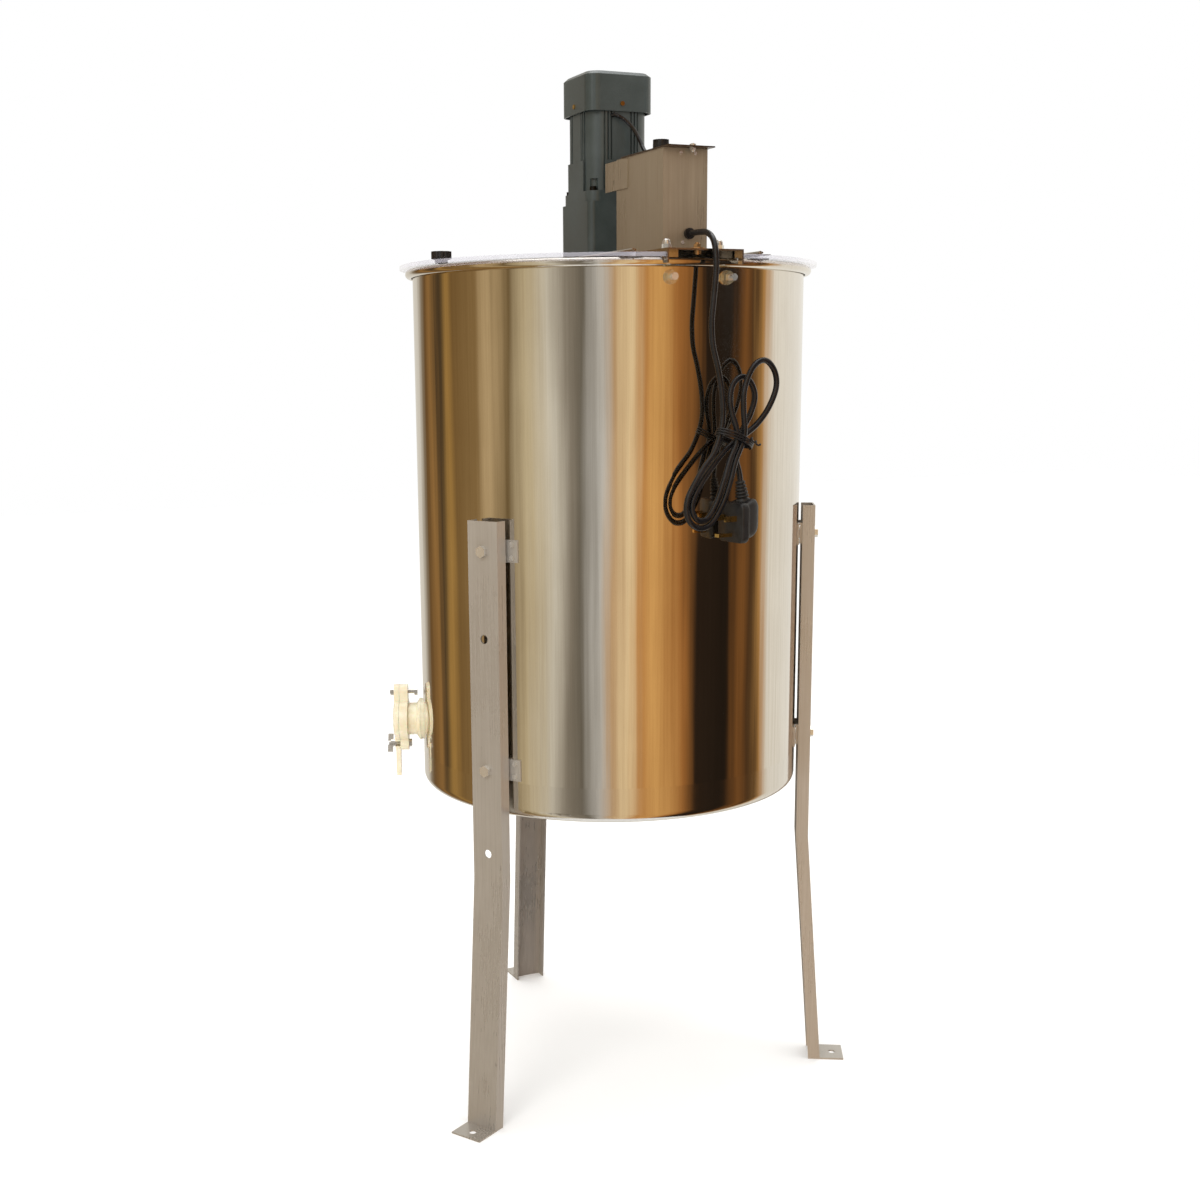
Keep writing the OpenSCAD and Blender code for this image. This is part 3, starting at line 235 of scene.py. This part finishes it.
# %% Bend the tie
TIE_R = 0.0011
WRAPS, TURN_STEPS = 3, 24
WAIST_HALF_W, WAIST_HALF_DEEP, WAIST_Z, WAIST_REACH = 23.5, 14.2, 861, 275
tie_line = []
for k in range(WRAPS * TURN_STEPS + 5):
    a = math.tau * k / TURN_STEPS
    lift = 3.4 * (k / (WRAPS * TURN_STEPS) - 0.5) * 2 + 2.2 * math.sin(a * 0.97 + 0.6)
    across = -3 + WAIST_HALF_W * math.cos(a) + 0.5 * lift
    tie_line.append(on_hank(across, WAIST_Z - 0.45 * WAIST_HALF_W * math.cos(a) + lift,
                            WAIST_REACH + WAIST_HALF_DEEP * math.sin(a)))
end, TWIST_R = tie_line[-1], 1.4 * MM
for k in range(1, 18):
    swing = math.radians(50 * k)
    drop = TWIST_R * math.sin(swing) - 0.5 * k * MM
    tie_line.append(end + across_hank * (0.45 * k * MM + TWIST_R * math.cos(swing))
                    + out_of_tank * (0.5 * k * MM) + Vector((0, 0, drop)))
twist_tie = cable("twist_tie", smooth_line(tie_line, 2), TIE_R, 2)
print("the tie has", len(tie_line), "points")

# %% [markdown]
# ## A small language for node trees
# A material or a Geometry Nodes tree is easier to read as sums. Wire holds one socket, and
# arithmetic on it adds Math nodes. Tree adds any other node: its settings are set first, then its
# sockets, by number for the plain ones and by name for the rest.

# %% Wrap sockets and trees
class Wire:
    def __init__(self, tree, socket):
        self.tree, self.socket = tree, socket

    def __add__(self, other): return self.tree.math("ADD", self, other)
    def __radd__(self, other): return self.tree.math("ADD", other, self)
    def __sub__(self, other): return self.tree.math("SUBTRACT", self, other)
    def __rsub__(self, other): return self.tree.math("SUBTRACT", other, self)
    def __mul__(self, other): return self.tree.math("MULTIPLY", self, other)
    def __rmul__(self, other): return self.tree.math("MULTIPLY", other, self)
    def __truediv__(self, other): return self.tree.math("DIVIDE", self, other)


class Tree:
    def __init__(self, nodes, links, kind="ShaderNode"):
        self.nodes, self.links, self.kind = nodes, links, kind

    def math(self, operation, a, b):
        return self.node("Math", {"operation": operation}, a, b)

    def put(self, socket, value):
        if isinstance(value, Wire):
            self.links.new(value.socket, socket)
        else:
            socket.default_value = value

    def node(self, kind, settings, *values, out=0, **named):
        maker = kind if kind.startswith(("Geometry", "Shader", "Function")) else self.kind + kind
        made = self.nodes.new(maker)
        for key, value in settings.items():
            if key == "stops":
                ramp = made.color_ramp
                while len(ramp.elements) < len(value):
                    ramp.elements.new(1)
                for element, (at, colour) in zip(ramp.elements, value):
                    element.position, element.color = at, colour
            else:
                setattr(made, key, value)
        for i, value in enumerate(values):
            self.put(made.inputs[i], value)
        for key, value in named.items():
            self.put(made.inputs[key.replace("_", " ")], value)
        outs = [s for s in made.outputs if s.enabled]
        return Wire(self, outs[out]) if outs else None


def tint(code):
    """A linear colour from a six-figure code."""
    parts3 = [int(code[i:i + 2], 16) / 255 for i in (0, 2, 4)]
    return (*[(c / 12.92 if c <= 0.04045 else ((c + 0.055) / 1.055) ** 2.4) for c in parts3], 1)


def finish(name, **fixed):
    """A new material and its tree; fixed names the shader's sockets that are the same all over."""
    material = bpy.data.materials.new(name)
    material.use_nodes = True
    tree = Tree(material.node_tree.nodes, material.node_tree.links)
    tree.shader = material.node_tree.nodes["Principled BSDF"]
    for key, value in fixed.items():
        tree.shader.inputs[key.replace("_", " ")].default_value = value
    return material, tree


def grain(tree, stretch, detail=4, rough=0.55, shift=0.0):
    """Noise with a size for each direction, in waves to a metre; from 0 to 1."""
    where = tree.node("TexCoord", {}, out=3)
    placed = tree.node("Mapping", {}, Vector=where, Scale=stretch, Location=(shift, shift, shift))
    return tree.node("TexNoise", {}, Vector=placed, Scale=1.0, Detail=detail, Roughness=rough)


def between(tree, factor, low, high):
    """A colour that runs from low to high."""
    mixed = tree.nodes.new("ShaderNodeMix")
    mixed.data_type = "RGBA"
    tree.put(mixed.inputs[0], factor)
    tree.put(mixed.inputs[6], low)
    tree.put(mixed.inputs[7], high)
    return Wire(tree, mixed.outputs[2])


def ramp(tree, factor, *stops):
    return tree.node("ValToRGB", {"stops": [(at, (v, v, v, 1)) for at, v in stops]}, factor)


def surface(tree, colour=None, roughness=None, height=None, strength=0.2, depth=0.0005):
    """Joins what changes over the surface to the shader."""
    if colour is not None:
        tree.put(tree.shader.inputs["Base Color"], colour)
    if roughness is not None:
        tree.put(tree.shader.inputs["Roughness"], roughness)
    if height is not None:
        bump = tree.node("Bump", {}, Strength=strength, Distance=depth, Height=height)
        tree.put(tree.shader.inputs["Normal"], bump)

print("tools ready")

# %% [markdown]
# ## Steel
# The tank is cold-rolled stainless sheet with a mirror finish. Rolling leaves a fine upright
# grain, and the thin wall is never quite flat, so reflections wobble in long upright streaks. Both
# are noise that is squeezed sideways and drawn out along Z. On the tank the upright streaks in the
# colour are partly rolling grain and partly painted reflection, the streaks a mirror shows laid into
# its colour; the wobble is real bump. The legs and small sheets have a coarser brushed grain and a
# satin roughness.

# %% Polished and brushed steel
def steel(name, light, dark, rough, along, metal_grain, wobble=0.0, wobble_size=(9, 9, 1.1), smear=0.5,
          metal=1.0):
    """Steel. along is the grain's stretch; wobble is the depth of the sheet's slow waves."""
    material, tree = finish(name, Metallic=metal)
    fine = grain(tree, along, 3, 0.7)
    smudge = ramp(tree, grain(tree, (7, 7, 4), 5, 0.6, 3.1), (0.42, 0.0), (0.72, 1.0))
    slow = grain(tree, wobble_size, 1.5, 0.4, 7.7)
    shade = fine * 0.7 + smudge * 0.3
    height = fine * metal_grain + slow * wobble
    surface(tree, between(tree, shade, tint(dark), tint(light)),
            fine * (rough * 0.5) + smudge * (rough * smear) + rough * 0.6, height, 1.0, 0.001)
    return material

# The tank's colour runs in fine upright streaks: partly rolling grain, partly painted reflection of the
# streaks a mirrored drum shows.
tank_steel = steel("polished_tank_steel_grain_and_painted_reflection", "f3f0ea", "cdc6bb", 0.06, (260, 260, 5), 0.004, 1.1,
                   (13, 13, 1.0), 0.3)
pan_steel = steel("pressed_pan_steel", "efece6", "cfc9c0", 0.13, (240, 240, 6), 0.004, 0.35, smear=0.4)
leg_steel = steel("brushed_leg_steel", "cdc8c0", "a39c93", 0.3, (420, 420, 7), 0.05, 0.25, metal=0.6)
sheet_steel = steel("satin_sheet_steel", "d6d1c9", "aaa49c", 0.24, (300, 14, 300), 0.04, 0.2)
# The box is brushed steel like the legs; its warm tan is a painted reflection of the brown room that the
# box front mirrors.
box_steel = steel("brushed_box_steel_painted_reflection", "b3a58e", "8b7c66", 0.3, (420, 420, 9), 0.05, 0.25, metal=0.6)
cover_steel = steel("dark_cover_steel", "6a5a4c", "463a30", 0.28, (400, 12, 400), 0.05, 0.2, metal=0.8)
wire_steel = steel("drawn_wire_steel", "dedcd8", "b4b0aa", 0.22, (200, 200, 200), 0.03)
bright_steel = steel("bright_fastener_steel", "f0eeea", "c9c4bc", 0.2, (300, 300, 300), 0.03, metal=0.8)
yellow_steel = steel("yellow_plated_steel", "e9dcbc", "b9a47c", 0.24, (300, 300, 300), 0.03, metal=0.8)
black_steel = steel("blackened_steel", "3a3a3b", "1e1e1f", 0.34, (300, 300, 300), 0.03)
machined_steel = steel("machined_core_steel", "b5b2ad", "8b8884", 0.3, (250, 250, 900), 0.06)
bronze = steel("bronze_metal", "e2bd8c", "a87c4c", 0.28, (300, 300, 300), 0.03, metal=0.8)
brass = steel("polished_brass", "f0cf86", "c09a4e", 0.18, (300, 300, 60), 0.02)
print("steels:", sum(1 for m in bpy.data.materials if "steel" in m.name))

# %% [markdown]
# ## Paint, plastic, rubber and clear acrylic
# The motor's enamel is sprayed thick, so it has a fine orange-peel surface and a soft gloss. The
# gate is glossy ivory nylon, whose colour is a little deeper where the wall is thin. Rubber and
# moulded plastic keep a faint mould grain, and the lid is a clear pane with a violet cast.

# %% Paint, plastic and rubber
def moulded(name, light, dark, rough, size=900, depth=0.05, patch=18, **fixed):
    """A dielectric with fine grain in its surface and slow patches in its colour and gloss."""
    material, tree = finish(name, **fixed)
    fine = grain(tree, (size, size, size), 2, 0.5)
    slow = ramp(tree, grain(tree, (patch, patch, patch), 4, 0.6, 1.7), (0.35, 0.0), (0.68, 1.0))
    surface(tree, between(tree, slow * 0.75 + fine * 0.25, tint(dark), tint(light)),
            slow * (rough * 0.35) + fine * (rough * 0.2) + rough * 0.72, fine, depth, 0.0004)
    return material

motor_paint = moulded("motor_enamel", "434b49", "323a38", 0.38, 620, 0.35, 12, Coat_Weight=0.12)
ivory_nylon = moulded("ivory_nylon", "f6efd6", "ead9b2", 0.26, 500, 0.06, 40, Coat_Weight=0.2,
                      Subsurface_Weight=0.15, Subsurface_Scale=0.004)
black_plastic = moulded("black_moulded_plastic", "1c1b1d", "111012", 0.34, 900, 0.12, 60)
cord_sheath = moulded("cord_sheath", "16161a", "0b0b0d", 0.27, 700, 0.10, 50)
soft_rubber = moulded("gland_rubber", "1d1d1e", "101011", 0.5, 900, 0.2, 80)
seal_rubber = moulded("seal_rubber", "2b2b2b", "1a1a1a", 0.7, 700, 0.25, 60)
copper_winding = moulded("wound_copper", "b5683c", "7c3f22", 0.4, 900, 0.4, 200, Metallic=0.8)
board_green = moulded("board_laminate", "2a6a44", "1a4a2e", 0.35, 300, 0.05, 120)
clear_pane = moulded("clear_acrylic", "efecf3", "dedae6", 0.07, 60, 0.01, 6, Alpha=0.3, IOR=1.49,
                     Coat_Weight=0.3)
print("materials:", len(bpy.data.materials))

# %% [markdown]
# ## Finishes on the measured parts
# The record names a slot for each part. A part whose shape is right keeps its mesh and gets the
# better material here; the few that share a slot but not a finish come by name.

# %% Give each part its finish
by_slot = {"tank_steel": tank_steel, "plain_steel": sheet_steel, "leg_steel": leg_steel,
           "bright_steel": bright_steel, "brassy_steel": yellow_steel, "black_steel": black_steel,
           "dark_steel": cover_steel, "box_steel": box_steel, "motor_paint": motor_paint,
           "core_steel": machined_steel, "bronze": bronze, "brass": brass, "ivory_plastic": ivory_nylon,
           "seal_rubber": seal_rubber, "cord_rubber": soft_rubber, "black_plastic": black_plastic,
           "board_green": board_green, "clear_acrylic": clear_pane}
by_name = {"tank_pan": pan_steel, "basket_mesh": wire_steel, "basket_frame": wire_steel,
           "stator": copper_winding, "motor_lead": cord_sheath, "gate_gasket": ivory_nylon,
           "cover_screws": brass}
for row in frame["record"]["subparts"]:
    part = parts[row["node"]]
    part.data.materials.clear()
    part.data.materials.append(by_name.get(row["node"], by_slot[row["material_slot"]]))

def dress(piece, material, slot, body, *stands_for):
    """Finish and body of a new piece, and the measured parts that it stands for; slot is not used."""
    piece.data.materials.clear()
    piece.data.materials.append(material)
    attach(piece, body)
    if stands_for:
        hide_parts(*stands_for)
    return piece

dress(power_cable, cord_sheath, "cord_rubber", "extractor", "power_cord", "cord_hank")
dress(plug, soft_rubber, "cord_rubber", "extractor", "plug_body")
dress(twist_tie, black_plastic, "black_plastic", "extractor", "cord_tie")
print("dressed", len(parts), "parts")

# %% [markdown]
# ## Rings of small shapes
# Grips, louvres and lobes repeat around a centre. One Geometry Nodes tree makes them all: points on
# a circle, a rounded bead on each, turned to face outwards and stretched to its size. The result is
# made real, given its finish, and moved to its place.

# %% Build the ring tree
def ring_tree():
    made = bpy.data.node_groups.new("ring_of_beads", "GeometryNodeTree")
    face = made.interface
    face.new_socket("Geometry", in_out="OUTPUT", socket_type="NodeSocketGeometry")
    face.new_socket("Geometry", in_out="INPUT", socket_type="NodeSocketGeometry")
    for label, kind in (("Count", "Int"), ("Radius", "Float"), ("Bead size", "Vector"),
                        ("Finish", "Material")):
        face.new_socket(label, in_out="INPUT", socket_type="NodeSocket" + kind)
    tree = Tree(made.nodes, made.links, "GeometryNode")
    given = made.nodes.new("NodeGroupInput")
    asked = {s.name: Wire(tree, s) for s in given.outputs if s.name}
    circle = tree.node("MeshCircle", {}, Vertices=asked["Count"], Radius=asked["Radius"])
    bead = tree.node("MeshUVSphere", {}, Segments=16, Rings=10, Radius=1.0)
    step = tree.node("InputIndex", {})
    share = tree.node("ShaderNodeMath", {"operation": "DIVIDE"}, math.tau, asked["Count"])
    angle = tree.node("ShaderNodeMath", {"operation": "MULTIPLY"}, step, share)
    turned = tree.node("ShaderNodeCombineXYZ", {}, 0.0, 0.0, angle)
    beads = tree.node("InstanceOnPoints", {}, Points=circle, Instance=bead, Rotation=turned,
                      Scale=asked["Bead size"])
    solid = tree.node("RealizeInstances", {}, beads)
    smooth = tree.node("SetShadeSmooth", {}, solid)
    dressed = tree.node("SetMaterial", {}, smooth, Material=asked["Finish"])
    result = made.nodes.new("NodeGroupOutput")
    tree.put(result.inputs[0], dressed)
    return made

RING = ring_tree()
RING_SOCKET = {item.name: item.identifier for item in RING.interface.items_tree
               if item.in_out == "INPUT"}

def ring_of(name, count, radius, bead, centre, material):
    """Beads around a centre, in millimetres; bead is the half size outwards, along the ring and up."""
    carrier = add(name + "_carrier", bpy.data.meshes.new(name + "_carrier"))
    nodes = carrier.modifiers.new("ring", "NODES")
    nodes.node_group = RING
    nodes[RING_SOCKET["Count"]] = count
    nodes[RING_SOCKET["Radius"]] = radius * MM
    nodes[RING_SOCKET["Bead size"]] = [v * MM for v in bead]
    nodes[RING_SOCKET["Finish"]] = material
    graph = bpy.context.evaluated_depsgraph_get()
    graph.update()
    mesh = bpy.data.meshes.new_from_object(carrier.evaluated_get(graph))
    bpy.data.objects.remove(carrier)
    mesh.transform(Matrix.Translation(Vector(centre) * MM))
    return add(name, mesh)

# %% Grips, louvres and lobes
slot_of = {row["node"]: row["material_slot"] for row in frame["record"]["subparts"]}

def ring_on(node, body, material, name, count, radius, bead, centre):
    return dress(ring_of(name, count, radius, bead, centre, material), material, slot_of[node], body)

ring_on("speed_knob", "speed_knob", black_plastic, "knob_grips", 22, 9.1, (0.6, 0.7, 5.2),
        (0, -151, 1200.5))
for row, radius in enumerate((12, 19, 26, 33)):
    ring_on("fan_cover", "extractor", motor_paint, f"cover_louvres_{row}", 10 + 8 * row, radius,
            (2.6, 0.9, 0.5), (0, 0, 1301.9))
for side, body in ((1, "lid_right"), (-1, "lid_left")):
    ring_on(body.replace("lid", "lid_knob"), body, black_plastic, body + "_knob_lobes", 6, 9.6,
            (2.6, 3.4, 4.6), (side * 225, 0, 1079.6))

# %% [markdown]
# ## The studio
# A mirror shows its surroundings, so the tank needs a room to reflect: white sides, warm brown
# curtains and a dark gap. The room is a round wall of striped light that only reflections see. The
# camera, the lamps and the shadows pass through it, and the world around it is plain white. The
# floor is a pale sheet that glows just enough to meet that white. Reflections don't see it, so the
# curtains go on below it and the drum's stripes run down to the seam.

# %% Hang the room's curtains
STRIPES = [(-180, "e2ded6"), (-142, "d8d2c6"), (-132, "8a7a64"), (-125, "6f5230"), (-116, "9b7443"),
           (-108, "4c3d2a"), (-100, "a98348"), (-91, "7d6038"), (-78, "8d7148"), (-68, "c0a67c"),
           (-56, "75603f"), (-44, "c6b592"), (-32, "d6cfbf"), (-22, "8f8678"), (-14, "6f685c"),
           (-5, "c9c6c0"), (3, "c9a67c"), (11, "f0d5a8"), (19, "c88f52"), (28, "e0ab66"),
           (40, "a9703a"), (49, "2c2118"), (70, "241c15"), (80, "7d522a"), (88, "4a3420"),
           (95, "b98a50"), (105, "ece6da"), (150, "f2efe8"), (180, "dedad2")]
ROOM_R, ROOM_LOW, ROOM_HIGH, FACETS = 1.55, -3.0, 3.2, 96
camera_turn = math.atan2(CAMERA_PLACE.y, CAMERA_PLACE.x)
room_rings = [circle_ring(ROOM_R, z, FACETS) for z in (ROOM_LOW, ROOM_HIGH)]
room_points, room_faces = loft_faces(room_rings, ends=False)
curtains = mesh_of("curtains", room_points, room_faces)
curtain_finish = bpy.data.materials.new("striped_curtain")
curtain_finish.use_nodes = True
cloth = Tree(curtain_finish.node_tree.nodes, curtain_finish.node_tree.links)
cloth.nodes.clear()
place = cloth.node("TexCoord", {}, out=3)
split = cloth.node("SeparateXYZ", {}, place)
spot = [Wire(cloth, s) for s in split.socket.node.outputs]
sway = cloth.node("TexNoise", {}, Vector=cloth.node("Mapping", {}, Vector=place, Scale=(2.2, 2.2, 0.9)),
                  Scale=1.0, Detail=3.0)
pleats = cloth.node("TexNoise", {}, Vector=cloth.node("Mapping", {}, Vector=place, Scale=(11, 11, 0.5)),
                    Scale=1.0, Detail=4.0)
compass = (cloth.math("ARCTAN2", spot[1], spot[0]) / math.tau + sway * 0.05 - 0.025
           + pleats * 0.024 - 0.012)
turned = cloth.math("FRACT", compass - camera_turn / math.tau + 1.5, 0.0)
stops = [((at + 180) / 360, tint(code)) for at, code in STRIPES]
stripe = cloth.node("ValToRGB", {"stops": stops}, turned)
glow = cloth.node("Emission", {}, Color=stripe, Strength=1.05)
cloth.node("OutputMaterial", {}, glow)
curtains.data.materials.append(curtain_finish)
for sense in ("camera", "diffuse", "transmission", "shadow", "volume_scatter"):
    setattr(curtains, "visible_" + sense, False)
print("room of", len(STRIPES), "stripes")

# %% Lay the floor and hang the lamps
world = bpy.data.worlds.new("studio")
bpy.context.scene.world = world
world.use_nodes = True
world.node_tree.nodes["Background"].inputs["Color"].default_value = (1, 1, 1, 1)

floor_mesh = bpy.data.meshes.new("floor")
FLOOR_HALF = 9
corners = [(x * FLOOR_HALF, y * FLOOR_HALF, 0) for x, y in ((-1, -1), (1, -1), (1, 1), (-1, 1))]
floor_mesh.from_pydata(corners, [], [(0, 1, 2, 3)])
floor = add("floor", floor_mesh)
floor_finish, floor_tree = finish("pale_floor", Roughness=0.7, Emission_Color=(1, 1, 1, 1),
                                  Emission_Strength=0.1)
surface(floor_tree, between(floor_tree, grain(floor_tree, (3, 3, 3), 3), tint("f6f5f3"), tint("fbfaf8")))
floor_mesh.materials.append(floor_finish)
floor.visible_glossy = False

def lamp(name, place, target, size, watts, colour=(1, 1, 1)):
    light = bpy.data.lights.new(name, "AREA")
    light.shape, light.size, light.energy, light.color = "DISK", size, watts, colour
    thing = add(name, light)
    thing.location = place
    thing.rotation_euler = (Vector(target) - Vector(place)).to_track_quat("-Z", "Y").to_euler()
    return thing

lamp("key_lamp", (-2.6, -2.2, 2.9), (0, 0, 0.9), 1.8, 45)
lamp("fill_lamp", (2.4, -2.4, 1.8), (0, 0, 0.8), 1.6, 12)
lamp("top_lamp", (0.3, 0.6, 3.4), (0, 0, 1.0), 2.2, 25)
bpy.context.scene.view_settings.view_transform = "Standard"
print("studio ready")
